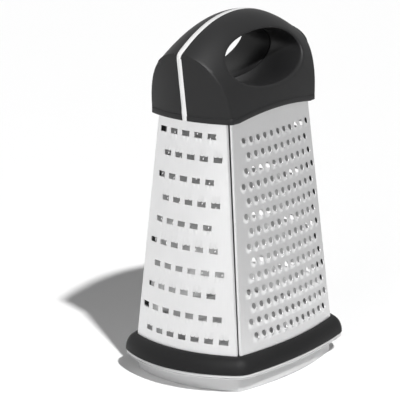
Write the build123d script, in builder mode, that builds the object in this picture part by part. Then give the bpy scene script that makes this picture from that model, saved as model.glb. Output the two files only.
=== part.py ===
from build123d import *
from math import asin, atan, ceil, cos, degrees, hypot, radians, sin, sqrt
import os

# A four-sided grater, its origin under the middle of the tray, X along the broad faces.
# A plan is a rectangle with bowed sides: half length, half width, bow of the narrow ends,
# bow of the broad sides, rounding of the corners.

overrun = 20.0
mate_gap = 0.3
bond_gap = 0.1

# Steel body, sizes at the corner seams
foot_height = 26.6
crown_height = 187.4
foot_half_length = 56.9
foot_half_width = 45.2
foot_end_bow = 11.4
foot_side_bow = 6.4
crown_half_length = 47.9
crown_half_width = 31.1
crown_end_bow = 5.2
crown_side_bow = 3.3
sheet = 0.5
low_tuck = 4.0
high_tuck = 8.0
foot_seam_gap = 0.2
crown_seam_gap = 0.4
flange_depth = 7.0
bend_radius = 1.2

# Coarse teeth, narrow end
coarse_top_row = 177.8
coarse_row_pitch = 15.8
coarse_column_pitch = 10.48
coarse_shift = 1.9
coarse_rows = 10
coarse_margin = 8.5
coarse_hole_width = 6.4
coarse_hole_height = 3.8
coarse_tooth_rise = 1.7
coarse_tooth_run = 4.2

# Medium teeth, broad face
medium_top_row = 173.8
medium_row_pitch = 10.44
medium_column_pitch = 7.53
medium_shift = -1.7
medium_rows = 14
medium_margin = 8.5
medium_hole = 4.2
medium_tooth_rise = 1.1
tooth_base_share = 0.62
tooth_tip_share = 0.4

# Fine teeth, broad face
fine_top_row = 174.4
fine_row_pitch = 6.9
fine_column_pitch = 6.2
fine_rows = 21
fine_margin = 8.0
fine_hole = 1.9

# Slicing slots, narrow end
slot_top_row = 166.4
slot_row_pitch = 37.0
slot_rows = 4
slot_margin = 11.0
slot_height = 5.0
slot_blade_rise = 2.2
slot_blade_run = 6.0

# Rivets
rivet_diameter = 2.4
rivet_head_diameter = 4.0
rivet_head_height = 0.8
rivet_depth_share = 0.68
seam_rivet_shares = (0.12, 0.5, 0.88)

# Base ring: rigid frame and soft grip
ring_low = 15.1
ring_half_length = 52.0
ring_half_width = 39.1
ring_end_bow = 11.7
ring_side_bow = 4.7
ring_rounding = 15.5
ring_neck_rounding = 2.0
grip_thickness = 2.5
retainer_wall = 2.6
retainer_rise = 4.0
notch_width = 4.0
notch_gap = 1.0
ring_section_angles = (0, 30, 60, 90)

# Tray
tray_half_length = 52.2
tray_half_width = 40.8
tray_end_bow = 9.8
tray_side_bow = 6.8
tray_rounding = 6.0
tray_flare = 1.5
tray_wall = 1.8
tray_edge_radius = 2.5
rim_low = 12.1
rim_setback = 0.8
tray_rib_height = 2.7
tray_rib = 1.3
tray_rib_gap = 0.4
rib_inset = 4.3

# Handle cap
cap_half_width = 37.0
cap_end_half_width = 34.0
cap_end_reach = 57.0
cap_end_radius = 81.0
cap_end_slope = 0.145
cap_top = 255.6
arch_reach = 50.0
arch_drop = 13.1
arch_power = 2.05
cap_wall = 2.8
cap_crease_radius = 1.2
skirt_arch_rise = 3.5
skirt_arch_half = 42.0
cap_section_shares = (-1.3, -1.16, -1.0, -0.8, -0.6, -0.4, -0.2, 0, 0.2, 0.4, 0.6, 0.8, 1.0, 1.16, 1.3)

# Finger hole through the handle
hole_floor = 207.6
hole_roof = 243.4
hole_half_length = 43.3
hole_rim_radius = 2.4
parting_gap = 0.3

# Trim strip
strip_width = 4.0
strip_thickness = 1.5

# Crown plate and its screws
ledge_thickness = 3.0
ledge_width = 4.0
crown_plate_thickness = 3.0
crown_lip_depth = 6.0
crown_lip = 1.6
screw_spread = 31.0
screw_setback = 15.0
screw_shank = 3.0
screw_length = 14.0
screw_head = 6.0
screw_head_height = 2.0
boss_diameter = 8.0
boss_top = 211.2
pin_diameter = 3.0
pin_length = 14.0
pin_boss_diameter = 9.0
pin_reach = 53.0
pin_height = 214.4
bar_pin_height = 249.5

# The mating heights follow from the sizes above
panel_bottom = foot_height - low_tuck
panel_top = crown_height + high_tuck

os.makedirs("parts", exist_ok=True)


def save(piece, name):
    """Label a finished piece and write it to its own file."""
    piece.label = name
    export_step(piece, f"parts/{name}.step")


def body_plan(height, grow=0, rounding=0):
    """Plan of the steel body at a height, its corners rounded and its outline grown outwards."""
    share = (height - foot_height) / (crown_height - foot_height)

    def between(foot, crown):
        return foot + (crown - foot) * share

    half_length = between(foot_half_length, crown_half_length)
    half_width = between(foot_half_width, crown_half_width)
    end_bow = between(foot_end_bow, crown_end_bow)
    side_bow = between(foot_side_bow, crown_side_bow)
    inset = rounding - grow
    return (half_length - inset, half_width - inset, end_bow, side_bow, rounding)


def plan_face(plan):
    """Face of a plan: four bowed sides joined by round corners."""
    half_length, half_width, end_bow, side_bow, rounding = plan
    side_radius = (half_length**2 + side_bow**2) / (2 * side_bow)
    end_radius = (half_width**2 + end_bow**2) / (2 * end_bow)
    side_turn = asin(half_length / side_radius)
    end_turn = asin(half_width / end_radius)
    side_end = (half_length + rounding * sin(side_turn), half_width + rounding * cos(side_turn))
    end_end = (half_length + rounding * cos(end_turn), half_width + rounding * sin(end_turn))
    lean = hypot(sin(side_turn) + cos(end_turn), cos(side_turn) + sin(end_turn))
    corner_mid = (
        half_length + rounding * (sin(side_turn) + cos(end_turn)) / lean,
        half_width + rounding * (cos(side_turn) + sin(end_turn)) / lean,
    )
    side_mid = (0, half_width + side_bow + rounding)
    end_mid = (half_length + end_bow + rounding, 0)

    def flip(point, along, across):
        return (along * point[0], across * point[1])

    with BuildSketch() as face:
        with BuildLine():
            ThreePointArc(flip(side_end, -1, 1), side_mid, side_end)
            ThreePointArc(side_end, corner_mid, end_end)
            ThreePointArc(end_end, end_mid, flip(end_end, 1, -1))
            ThreePointArc(flip(end_end, 1, -1), flip(corner_mid, 1, -1), flip(side_end, 1, -1))
            ThreePointArc(flip(side_end, 1, -1), flip(side_mid, 1, -1), flip(side_end, -1, -1))
            ThreePointArc(flip(side_end, -1, -1), flip(corner_mid, -1, -1), flip(end_end, -1, -1))
            ThreePointArc(flip(end_end, -1, -1), flip(end_mid, -1, 1), flip(end_end, -1, 1))
            ThreePointArc(flip(end_end, -1, 1), flip(corner_mid, -1, 1), flip(side_end, -1, 1))
        make_face()
    return face.sketch


def seam_direction(height):
    """Unit vector along the corner seam, from the corner inwards, in the quarter +X +Y."""
    half_length, half_width, end_bow, side_bow, _ = body_plan(height)
    side_turn = 2 * atan(side_bow / half_length)
    end_turn = 2 * atan(end_bow / half_width)
    lean = Vector(cos(side_turn) - sin(end_turn), cos(end_turn) - sin(side_turn))
    return lean.normalized() * -1


def seam_gap_at(height):
    """Gap between the two flanges of a corner seam at a height."""
    share = (height - foot_height) / (crown_height - foot_height)
    return foot_seam_gap + (crown_seam_gap - foot_seam_gap) * share


# Steel sheets. Each is drawn facing +Y and turned to its own side.
BROAD_BACK = (1, 0, 0)
BROAD_FRONT = (-1, 0, 0)
NARROW_LEFT = (0, 1, 0)
NARROW_RIGHT = (0, -1, 0)


def face_sizes(facing, height):
    """Half chord, distance, bow and seam direction of a face at a height, in its own frame."""
    half_length, half_width, end_bow, side_bow, _ = body_plan(height)
    seam = seam_direction(height)
    if facing in (BROAD_BACK, BROAD_FRONT):
        return half_length, half_width, side_bow, seam
    return half_width, half_length, end_bow, Vector(seam.Y, seam.X)


def sheet_profile(facing, height):
    """Section of one sheet: bowed face, two round bends and two flanges along the seams."""
    half_chord, distance, bow, seam = face_sizes(facing, height)
    seam_gap = seam_gap_at(height)
    turn = 2 * atan(bow / half_chord)
    towards_corner = Vector(cos(turn), -sin(turn))
    lean = abs(towards_corner.X * seam.Y - towards_corner.Y * seam.X)
    corner = Vector(half_chord, distance) - towards_corner * (seam_gap / 2 / lean)
    inner_corner = corner + (seam - towards_corner) * (sheet / lean)
    into_panel = Vector(seam.Y, -seam.X)
    flange_end = corner + seam * flange_depth
    inner_end = flange_end + into_panel * sheet

    def mirrored(point):
        return Vector(-point.X, point.Y)

    with BuildSketch() as profile:
        with BuildLine():
            ThreePointArc(mirrored(corner), (0, distance + bow), corner)
            Polyline(corner, flange_end, inner_end, inner_corner)
            ThreePointArc(inner_corner, (0, distance + bow - sheet), mirrored(inner_corner))
            Polyline(mirrored(inner_corner), mirrored(inner_end), mirrored(flange_end), mirrored(corner))
        make_face()
        for side in (corner, mirrored(corner)):
            fillet(profile.vertices().sort_by_distance(side)[0], bend_radius + sheet)
        for side in (inner_corner, mirrored(inner_corner)):
            fillet(profile.vertices().sort_by_distance(side)[0], bend_radius)
    return profile.sketch


def folded_sheet(facing):
    """One folded steel sheet without its teeth."""
    with BuildPart() as folded:
        for height in (panel_bottom, panel_top):
            with BuildSketch(Plane((0, 0, height), x_dir=facing, z_dir=(0, 0, 1))):
                add(sheet_profile(facing, height))
        loft(ruled=True)
    return folded.part


def reach(facing, height, along):
    """How far out the face stands at a height and at a place along it."""
    half_chord, distance, bow, _ = face_sizes(facing, height)
    radius = (half_chord**2 + bow**2) / (2 * bow)
    return distance + bow - radius + sqrt(radius**2 - along**2)


def tooth_places(
    facing, top_row, row_pitch, rows, column_pitch, shift, margin, middle=0, alternate=False
):
    """Staggered places of a tooth pattern: planes on the sheet, local Z outwards, local Y up.

    The margin counts from the ends of the face, moved along with the middle of the pattern.
    Where the rows alternate, every second row is turned upside down.
    """
    places = []
    for row in range(rows):
        height = top_row - row * row_pitch
        half_chord = face_sizes(facing, height)[0]
        start = shift - (row % 2) * column_pitch / 2
        count = ceil(half_chord / column_pitch)
        for column in range(-count, count + 1):
            along = start + column * column_pitch
            if abs(along - middle) <= half_chord - margin:
                places.append(tooth_plane(facing, height, along, alternate and row % 2))
    return places


def tooth_plane(facing, height, along, turned):
    """Plane on the outer surface of a sheet, local X along the sheet and local Y up, or down if turned."""
    half_chord, _, bow, _ = face_sizes(facing, height)
    radius = (half_chord**2 + bow**2) / (2 * bow)
    across = Vector(*facing)
    outwards = Vector(0, 0, 1).cross(across)
    turn = asin(along / radius)
    normal = outwards * cos(turn) + across * sin(turn)
    tangent = across * cos(turn) - outwards * sin(turn)
    origin = across * along + outwards * reach(facing, height, along) + Vector(0, 0, height)
    return Plane(origin, x_dir=tangent if turned else tangent * -1, z_dir=normal)


def raised_blade(width, opening, run, rise):
    """Blade bent out of the sheet: a wedge below its opening, its edge on top, facing outwards."""
    root = sheet / 2
    edge = -opening / 2
    with BuildPart() as blade:
        with BuildSketch(Plane.YZ.offset(-width / 2)):
            with BuildLine():
                Polyline(
                    (edge, -root),
                    (edge, rise),
                    (edge - sheet, rise),
                    (edge - run, -root),
                    (edge, -root),
                )
            make_face()
        extrude(amount=width)
    return blade.part


def seam_places(along, across, depth, shares):
    """Planes on one corner seam, origin at a depth inwards, local Z through the two flanges."""
    places = []
    for share in shares:
        height = foot_height + (crown_height - foot_height) * share
        half_length, half_width, *_ = body_plan(height)
        inwards = seam_direction(height)
        spot = Vector(half_length, half_width) + inwards * depth
        origin = (along * spot.X, across * spot.Y, height)
        x_dir = (along * inwards.X, across * inwards.Y, 0)
        z_dir = Vector(0, 0, 1).cross(Vector(*x_dir))
        places.append(Plane(origin, x_dir=x_dir, z_dir=z_dir))
    return places


# Corner seams: name of the seam, its side along X, its side along Y
CORNERS = {
    "front_left": (-1, -1),
    "front_right": (1, -1),
    "rear_left": (-1, 1),
    "rear_right": (1, 1),
}
rivet_depth = flange_depth * rivet_depth_share


def drill_seams(places):
    """Rivet holes through the flanges, in the part being built."""
    with Locations([place.location for place in places]):
        Cylinder(rivet_diameter / 2 + bond_gap, 4 * sheet + crown_seam_gap, mode=Mode.SUBTRACT)


rivet_places = {
    name: seam_places(along, across, rivet_depth, seam_rivet_shares)
    for name, (along, across) in CORNERS.items()
}
all_rivet_places = [place for places in rivet_places.values() for place in places]

# Coarse panel, facing -X
coarse_places = tooth_places(
    NARROW_LEFT,
    coarse_top_row,
    coarse_row_pitch,
    coarse_rows,
    coarse_column_pitch,
    coarse_shift,
    coarse_margin,
    alternate=True,
)
with BuildPart() as coarse_panel:
    add(folded_sheet(NARROW_LEFT))
    with Locations([place.location for place in coarse_places]):
        add(raised_blade(coarse_hole_width, coarse_hole_height, coarse_tooth_run, coarse_tooth_rise))
        Box(coarse_hole_width, coarse_hole_height, overrun / 2, mode=Mode.SUBTRACT)
    drill_seams(all_rivet_places)
save(coarse_panel.part, "coarse_panel")

# Medium panel, facing -Y
medium_places = tooth_places(
    BROAD_FRONT,
    medium_top_row,
    medium_row_pitch,
    medium_rows,
    medium_column_pitch,
    medium_shift,
    medium_margin,
    middle=medium_shift,
)
with BuildPart() as medium_panel:
    add(folded_sheet(BROAD_FRONT))
    with Locations([place.location for place in medium_places]):
        with Locations((0, -medium_hole / 2, -sheet / 2)):
            Cone(
                medium_hole * tooth_base_share,
                medium_hole * tooth_tip_share,
                medium_tooth_rise + sheet / 2,
                align=(Align.CENTER, Align.CENTER, Align.MIN),
            )
    with Locations([place.location for place in medium_places]):
        Cylinder(medium_hole / 2, overrun / 2, mode=Mode.SUBTRACT)
    drill_seams(all_rivet_places)
save(medium_panel.part, "medium_panel")

# Fine panel, facing +Y
fine_places = tooth_places(
    BROAD_BACK, fine_top_row, fine_row_pitch, fine_rows, fine_column_pitch, 0, fine_margin
)
with BuildPart() as fine_panel:
    add(folded_sheet(BROAD_BACK))
    with Locations([place.location for place in fine_places]):
        Cylinder(fine_hole / 2, overrun / 2, mode=Mode.SUBTRACT)
    drill_seams(all_rivet_places)
save(fine_panel.part, "fine_panel")


def curved_blade(facing, height, half_chord):
    """Slicing blade that follows the bow of its sheet, its edge below the slot."""
    _, _, bow, _ = face_sizes(facing, height)
    chord = face_sizes(facing, height)[0]
    radius = (chord**2 + bow**2) / (2 * bow)
    axis_reach = reach(facing, height, 0) - radius
    swing = degrees(asin(half_chord / radius))
    edge = height - slot_height / 2
    low_edge = edge - slot_blade_run
    outwards = Vector(0, 0, 1).cross(Vector(*facing))
    axis_point = outwards * axis_reach
    start_dir = outwards.rotate(Axis.Z, -swing)
    section_plane = Plane(axis_point, x_dir=start_dir, z_dir=start_dir.cross(Vector(0, 0, 1)))
    top_reach = reach(facing, edge, 0) - axis_reach
    low_reach = reach(facing, low_edge, 0) - axis_reach
    with BuildPart() as blade:
        with BuildSketch(section_plane):
            with BuildLine():
                Polyline(
                    (top_reach - sheet / 2, edge),
                    (top_reach + slot_blade_rise, edge),
                    (top_reach + slot_blade_rise, edge - sheet),
                    (low_reach - sheet / 2, low_edge),
                    (top_reach - sheet / 2, edge),
                )
            make_face()
        revolve(axis=Axis(axis_point, (0, 0, 1)), revolution_arc=2 * swing)
    return blade.part


# Slicer panel, facing +X
with BuildPart() as slicer_panel:
    add(folded_sheet(NARROW_RIGHT))
    for row in range(slot_rows):
        slot_level = slot_top_row - row * slot_row_pitch
        slot_half = face_sizes(NARROW_RIGHT, slot_level)[0] - slot_margin
        add(curved_blade(NARROW_RIGHT, slot_level, slot_half))
        with Locations((reach(NARROW_RIGHT, slot_level, 0), 0, slot_level)):
            Box(overrun, 2 * slot_half, slot_height, mode=Mode.SUBTRACT)
    drill_seams(all_rivet_places)
save(slicer_panel.part, "slicer_panel")

# Seam rivets, one group for each corner
for corner_name, places in rivet_places.items():
    with BuildPart() as seam_rivet_group:
        for place in places:
            stack = 2 * (sheet + bond_gap) + seam_gap_at(place.origin.Z)
            with Locations(place.location):
                Cylinder(rivet_diameter / 2, stack + rivet_head_height)
                for flip in (-1, 1):
                    with Locations((0, 0, flip * (stack + rivet_head_height) / 2)):
                        Cylinder(rivet_head_diameter / 2, rivet_head_height)
    save(seam_rivet_group.part, f"seam_rivets_{corner_name}")


def loft_plans(levels):
    """Closed solid through plans at their heights, given as pairs of height and plan."""
    with BuildPart() as stack:
        for height, plan in levels:
            with BuildSketch(Plane.XY.offset(height)):
                add(plan_face(plan))
        loft(ruled=len(levels) == 2)
    return stack.part


def body_core(low, high, grow, rounding):
    """Solid that follows the steel body between two heights, its outline grown outwards."""
    return loft_plans([(low, body_plan(low, grow, rounding)), (high, body_plan(high, grow, rounding))])


def ring_plan(inset):
    """Plan of the base ring at its lowest edge."""
    return (ring_half_length, ring_half_width, ring_end_bow, ring_side_bow, ring_rounding - inset)


def ring_body(inset):
    """Solid under the convex slope of the base ring, set in from its surface."""
    top = foot_height - inset
    neck = body_plan(top, mate_gap, ring_neck_rounding)
    levels = []
    for angle in ring_section_angles:
        rise = sin(radians(angle))
        blend = 1 - cos(radians(angle))
        plan = tuple(low + (high - low) * blend for low, high in zip(ring_plan(inset), neck))
        levels.append((ring_low + (top - ring_low) * rise, plan))
    return loft_plans(levels)


def corner_notches(low, high):
    """Room for the flanges at the four corners, cut from the part being built."""
    middle = (low + high) / 2
    share = (middle - foot_height) / (crown_height - foot_height)
    places = []
    for along, across in CORNERS.values():
        places += seam_places(along, across, flange_depth / 2, (share,))
    with Locations([place.location for place in places]):
        Box(flange_depth + 2 * notch_gap, high - low, notch_width, mode=Mode.SUBTRACT)


# Base frame: rigid ring that the sheets stand on
with BuildPart() as base_frame:
    add(ring_body(grip_thickness + bond_gap))
    add(body_core(panel_bottom, foot_height + overrun, mate_gap, bend_radius), mode=Mode.SUBTRACT)
    add(
        body_core(ring_low - overrun, foot_height + overrun, -(sheet + mate_gap), bend_radius),
        mode=Mode.SUBTRACT,
    )
    with BuildSketch(Plane.XY.offset(ring_low)):
        add(plan_face(ring_plan(rib_inset - tray_rib_gap)))
        add(plan_face(ring_plan(rib_inset + tray_rib + tray_rib_gap)), mode=Mode.SUBTRACT)
    extrude(amount=tray_rib_height + tray_rib_gap, mode=Mode.SUBTRACT)
save(base_frame.part, "base_frame")

# Base grip: soft skin over the frame
with BuildPart() as base_grip:
    add(ring_body(0))
    add(ring_body(grip_thickness), mode=Mode.SUBTRACT)
    add(body_core(ring_low - overrun, foot_height + overrun, mate_gap, bend_radius), mode=Mode.SUBTRACT)
save(base_grip.part, "base_grip")

# Panel retainer: ring pressed into the frame, which holds the sheets from inside
retainer_set_in = sheet + mate_gap + bond_gap
with BuildPart() as panel_retainer:
    add(body_core(ring_low, foot_height + retainer_rise, -retainer_set_in, bend_radius))
    retainer_bore = -(retainer_set_in + retainer_wall)
    add(body_core(ring_low - overrun, foot_height + overrun, retainer_bore, bend_radius), mode=Mode.SUBTRACT)
    corner_notches(panel_bottom, foot_height + overrun)
save(panel_retainer.part, "panel_retainer")


def tray_plan(inset, share):
    """Plan of the tray's basin, set in, at a share of its height."""
    rounding = tray_rounding + tray_flare * share - inset
    return (tray_half_length, tray_half_width, tray_end_bow, tray_side_bow, rounding)


# Tray: basin, turned-down rim and locating rib
with BuildPart() as tray:
    add(loft_plans([(0, tray_plan(0, 0)), (ring_low, tray_plan(0, 1))]))
    fillet(tray.edges().group_by(Axis.Z)[0], tray_edge_radius)
    with BuildSketch(Plane.XY.offset(rim_low)):
        add(plan_face(ring_plan(rim_setback)))
    extrude(amount=ring_low - rim_low)
    with BuildSketch(Plane.XY.offset(rim_low)):
        add(plan_face(ring_plan(rim_setback + tray_wall)))
        add(plan_face(tray_plan(0, 1)), mode=Mode.SUBTRACT)
    extrude(amount=ring_low - rim_low - tray_wall, mode=Mode.SUBTRACT)
    with BuildSketch(Plane.XY.offset(ring_low)):
        add(plan_face(ring_plan(rib_inset)))
        add(plan_face(ring_plan(rib_inset + tray_rib)), mode=Mode.SUBTRACT)
    extrude(amount=tray_rib_height)
    add(
        loft_plans([(tray_wall, tray_plan(tray_wall, 0)), (ring_low + overrun, tray_plan(tray_wall, 1))]),
        mode=Mode.SUBTRACT,
    )
save(tray.part, "tray")


def arch_height(place):
    """Height of the handle's arch at a place along X, on the middle line."""
    return cap_top - arch_drop * (abs(place) / arch_reach) ** arch_power


def cap_body(inset):
    """Outer form of the handle cap, set in: half-elliptic cross sections between two flared ends."""
    with BuildPart() as form:
        for share in cap_section_shares:
            place = share * arch_reach
            spread = cap_half_width - (cap_half_width - cap_end_half_width) * (place / cap_end_reach) ** 2
            with BuildSketch(Plane.YZ.offset(place)):
                with BuildLine():
                    half = EllipticalCenterArc(
                        (0, crown_height),
                        spread - inset,
                        arch_height(place) - crown_height - inset,
                        arc_size=180,
                    )
                    Line(half @ 1, half @ 0)
                make_face()
        loft()
        for height in (crown_height - overrun, cap_top + overrun):
            reach_here = cap_end_reach + cap_end_slope * (height - crown_height) - inset
            corner = reach_here - cap_end_radius + sqrt(cap_end_radius**2 - cap_half_width**2)
            with BuildSketch(Plane.XY.offset(height)):
                with BuildLine():
                    for side in (-1, 1):
                        front = (side * corner, -cap_half_width)
                        rear = (side * corner, cap_half_width)
                        ThreePointArc(front, (side * reach_here, 0), rear)
                        Line((-corner, side * cap_half_width), (corner, side * cap_half_width))
                make_face()
        loft(ruled=True, mode=Mode.INTERSECT)
    return form.part


def finger_hole(grow):
    """Solid of the elliptic finger hole through the handle, grown outwards."""
    half_height = (hole_roof - hole_floor) / 2
    with BuildPart() as tunnel:
        with BuildSketch(Plane.XZ):
            with Locations((0, hole_floor + half_height)):
                Ellipse(hole_half_length + grow, half_height + grow)
        extrude(amount=cap_half_width + overrun, both=True)
    return tunnel.part


# Handle cap, whole, before it is parted into its two shells
pin_places = [(-pin_reach, 0, pin_height), (pin_reach, 0, pin_height), (0, 0, bar_pin_height)]
screw_places = [(along * screw_spread, across * screw_setback) for along, across in CORNERS.values()]
plate_low = panel_top - crown_plate_thickness
standing = (Align.CENTER, Align.CENTER, Align.MIN)
behind = (Align.CENTER, Align.MIN, Align.CENTER)
ahead = (Align.CENTER, Align.MAX, Align.CENTER)

with BuildPart() as cavity:
    add(cap_body(cap_wall))
    add(finger_hole(cap_wall), mode=Mode.SUBTRACT)
    with Locations((0, 0, panel_top + ledge_thickness)):
        Box(4 * cap_end_reach, 4 * cap_half_width, cap_top, align=standing, mode=Mode.INTERSECT)

with BuildPart() as strip_channel:
    with Locations((0, 0, crown_height - overrun)):
        Box(4 * cap_end_reach, strip_width + 2 * bond_gap, cap_top, align=standing)
    add(cap_body(strip_thickness + bond_gap), mode=Mode.SUBTRACT)


def is_hole_rim(edge):
    """Whether an edge of the cap runs round one mouth of the finger hole."""
    middle = edge.center()
    return abs(middle.X) < hole_half_length + hole_rim_radius and abs(middle.Y) > cap_end_half_width / 4


with BuildPart() as cap:
    add(cap_body(0))
    fillet(cap.edges().filter_by(lambda edge: edge.center().Z > crown_height + sheet), cap_crease_radius)
    add(finger_hole(0), mode=Mode.SUBTRACT)
    rim_edges = cap.edges().filter_by(lambda edge: edge.center().Z > crown_height + sheet)
    fillet(rim_edges.filter_by(is_hole_rim), hole_rim_radius)
    add(cavity.part, mode=Mode.SUBTRACT)
    add(body_core(panel_top - overrun, panel_top, mate_gap, bend_radius), mode=Mode.SUBTRACT)
    ledge_top = panel_top + ledge_thickness + sheet
    add(body_core(panel_top - overrun, ledge_top, -ledge_width, bend_radius), mode=Mode.SUBTRACT)
    with Locations([(*spot, panel_top) for spot in screw_places]):
        Cylinder(boss_diameter / 2, boss_top - panel_top, align=standing)
        Cylinder(screw_shank / 2 + bond_gap, screw_length, align=standing, mode=Mode.SUBTRACT)
    with Locations(pin_places):
        pin_bore = pin_diameter / 2 + bond_gap
        Cylinder(pin_boss_diameter / 2, pin_length + 2 * cap_wall, rotation=(90, 0, 0))
        Cylinder(pin_bore, pin_length + 2 * bond_gap, rotation=(90, 0, 0), mode=Mode.SUBTRACT)
    add(strip_channel.part, mode=Mode.SUBTRACT)
    with BuildSketch(Plane.XZ):
        with BuildLine():
            arch_top = (0, crown_height + skirt_arch_rise)
            arch = ThreePointArc((-skirt_arch_half, crown_height), arch_top, (skirt_arch_half, crown_height))
            Line(arch @ 1, arch @ 0)
        make_face()
    extrude(amount=cap_half_width + overrun, both=True, mode=Mode.SUBTRACT)

# Handle front shell, the side of -Y
with BuildPart() as handle_front_shell:
    add(cap.part)
    with Locations((0, -parting_gap / 2, crown_height)):
        Box(4 * cap_end_reach, 4 * cap_half_width, cap_top, align=ahead, mode=Mode.INTERSECT)
save(handle_front_shell.part, "handle_front_shell")

# Handle rear shell, the side of +Y
with BuildPart() as handle_rear_shell:
    add(cap.part)
    with Locations((0, parting_gap / 2, crown_height)):
        Box(4 * cap_end_reach, 4 * cap_half_width, cap_top, align=behind, mode=Mode.INTERSECT)
save(handle_rear_shell.part, "handle_rear_shell")

# Trim strip along the parting line
with BuildPart() as trim_strip:
    add(cap_body(0))
    add(cap_body(strip_thickness), mode=Mode.SUBTRACT)
    with Locations((0, 0, crown_height)):
        Box(4 * cap_end_reach, strip_width, cap_top, mode=Mode.INTERSECT)
save(trim_strip.part, "trim_strip")

# Locating pins between the shells
with BuildPart() as locating_pins:
    with Locations(pin_places):
        Cylinder(pin_diameter / 2, pin_length, rotation=(90, 0, 0))
save(locating_pins.part, "locating_pins")

# Crown plate: closes the handle and presses the sheets outwards with its lip
lip_low = plate_low - crown_lip_depth
with BuildPart() as crown_plate:
    add(body_core(lip_low, panel_top, -(sheet + mate_gap), bend_radius))
    lip_bore = -(sheet + mate_gap + crown_lip)
    add(body_core(lip_low - overrun, plate_low, lip_bore, bend_radius), mode=Mode.SUBTRACT)
    corner_notches(plate_low - overrun, panel_top + overrun)
    with Locations([(*spot, plate_low) for spot in screw_places]):
        Cylinder(screw_shank / 2 + bond_gap, overrun, mode=Mode.SUBTRACT)
save(crown_plate.part, "crown_plate")

# Crown screws, from below through the plate into the bosses
with BuildPart() as crown_screws:
    with Locations([(*spot, plate_low) for spot in screw_places]):
        Cylinder(screw_shank / 2, screw_length, align=standing)
        Cylinder(screw_head / 2, screw_head_height, align=(Align.CENTER, Align.CENTER, Align.MAX))
save(crown_screws.part, "crown_screws")
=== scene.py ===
"""Looks of a four-sided box grater with its catch tray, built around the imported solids."""

import logging
from dataclasses import dataclass, field, replace
from enum import Enum
from math import acos, asin, atan, atan2, ceil, cos, hypot, pi, radians, sin, sqrt, tan
from typing import Callable

import bmesh
import bpy
from mathutils import Matrix, Vector


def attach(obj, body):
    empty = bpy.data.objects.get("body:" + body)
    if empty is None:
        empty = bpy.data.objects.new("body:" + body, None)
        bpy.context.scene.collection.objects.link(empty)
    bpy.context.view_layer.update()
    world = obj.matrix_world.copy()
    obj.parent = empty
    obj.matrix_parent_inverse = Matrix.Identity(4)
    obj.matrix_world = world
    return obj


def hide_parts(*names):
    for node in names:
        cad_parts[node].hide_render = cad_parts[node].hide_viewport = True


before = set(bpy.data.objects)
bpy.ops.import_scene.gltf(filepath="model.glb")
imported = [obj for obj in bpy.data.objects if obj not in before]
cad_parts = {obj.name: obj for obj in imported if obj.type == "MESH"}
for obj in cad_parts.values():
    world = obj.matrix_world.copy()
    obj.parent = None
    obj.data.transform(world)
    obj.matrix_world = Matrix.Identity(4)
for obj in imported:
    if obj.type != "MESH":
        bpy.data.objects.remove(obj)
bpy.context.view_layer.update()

MM = 0.001
SAME_SPOT = 0.004
# Mesh attribute that marks where the painted shade of the sheets' seams falls.
SEAM_SHADE = "seam"
INSIDE = "inside"
LOG = logging.getLogger("grater")


class Facing(Enum):
    """Side that a steel sheet faces, as its outward direction."""

    FRONT = (0.0, -1.0)
    BACK = (0.0, 1.0)
    LEFT = (-1.0, 0.0)
    RIGHT = (1.0, 0.0)

    @property
    def outwards(self) -> Vector:
        """Unit vector out of the sheet."""
        return Vector((*self.value, 0.0))

    @property
    def rightwards(self) -> Vector:
        """Unit vector to the right, seen from outside."""
        return Vector((0.0, 0.0, 1.0)).cross(self.outwards)

    @property
    def is_broad(self) -> bool:
        """Whether this is one of the two broad sides."""
        return self in (Facing.FRONT, Facing.BACK)


@dataclass(frozen=True)
class BowedPlan:
    """Plan of a rectangle with bowed sides and round corners, in millimetres."""

    half_length: float
    half_width: float
    end_bow: float
    side_bow: float
    rounding: float

    SIDE_SHARE = 0.36
    CORNER_SHARE = 0.34

    def set_in(self, amount: float) -> "BowedPlan":
        """The same plan with its outline moved inwards."""
        return replace(self, rounding=self.rounding - amount)

    def blended(self, other: "BowedPlan", share: float) -> "BowedPlan":
        """A plan between this one and another.

        Args:
            other: Plan at a share of 1.
            share: How far towards the other plan.

        Returns:
            The plan in between.
        """
        mine = (self.half_length, self.half_width, self.end_bow, self.side_bow, self.rounding)
        theirs = (other.half_length, other.half_width, other.end_bow, other.side_bow, other.rounding)
        return BowedPlan(*(low + (high - low) * share for low, high in zip(mine, theirs)))

    def quarter_spot(self, share: float) -> Vector:
        """Point on the quarter from the middle of the +Y side to the middle of the +X end.

        Args:
            share: Way along the quarter, 0 to 1.

        Returns:
            The point, in the plan.
        """
        side_radius = (self.half_length**2 + self.side_bow**2) / (2 * self.side_bow)
        end_radius = (self.half_width**2 + self.end_bow**2) / (2 * self.end_bow)
        side_turn = asin(self.half_length / side_radius)
        end_turn = asin(self.half_width / end_radius)
        if share <= self.SIDE_SHARE:
            turn = side_turn * share / self.SIDE_SHARE
            centre = Vector((0.0, self.half_width + self.side_bow - side_radius))
            radius = side_radius + self.rounding
        elif share <= self.SIDE_SHARE + self.CORNER_SHARE:
            part = (share - self.SIDE_SHARE) / self.CORNER_SHARE
            turn = side_turn + (pi / 2 - end_turn - side_turn) * part
            centre = Vector((self.half_length, self.half_width))
            radius = self.rounding
        else:
            turn = pi / 2 - end_turn * (1 - share) / (1 - self.SIDE_SHARE - self.CORNER_SHARE)
            centre = Vector((self.half_length + self.end_bow - end_radius, 0.0))
            radius = end_radius + self.rounding
        return centre + Vector((sin(turn), cos(turn))) * radius

    def spot(self, share: float) -> Vector:
        """Point on the whole outline, clockwise from the middle of the +Y side.

        Args:
            share: Way round, 0 to 1.

        Returns:
            The point, in the plan.
        """
        quarter, part = divmod((share % 1.0) * 4, 1.0)
        along, across = ((1, 1), (1, -1), (-1, -1), (-1, 1))[int(quarter)]
        point = self.quarter_spot(part if along == across else 1 - part)
        return Vector((along * point.x, across * point.y))


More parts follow.
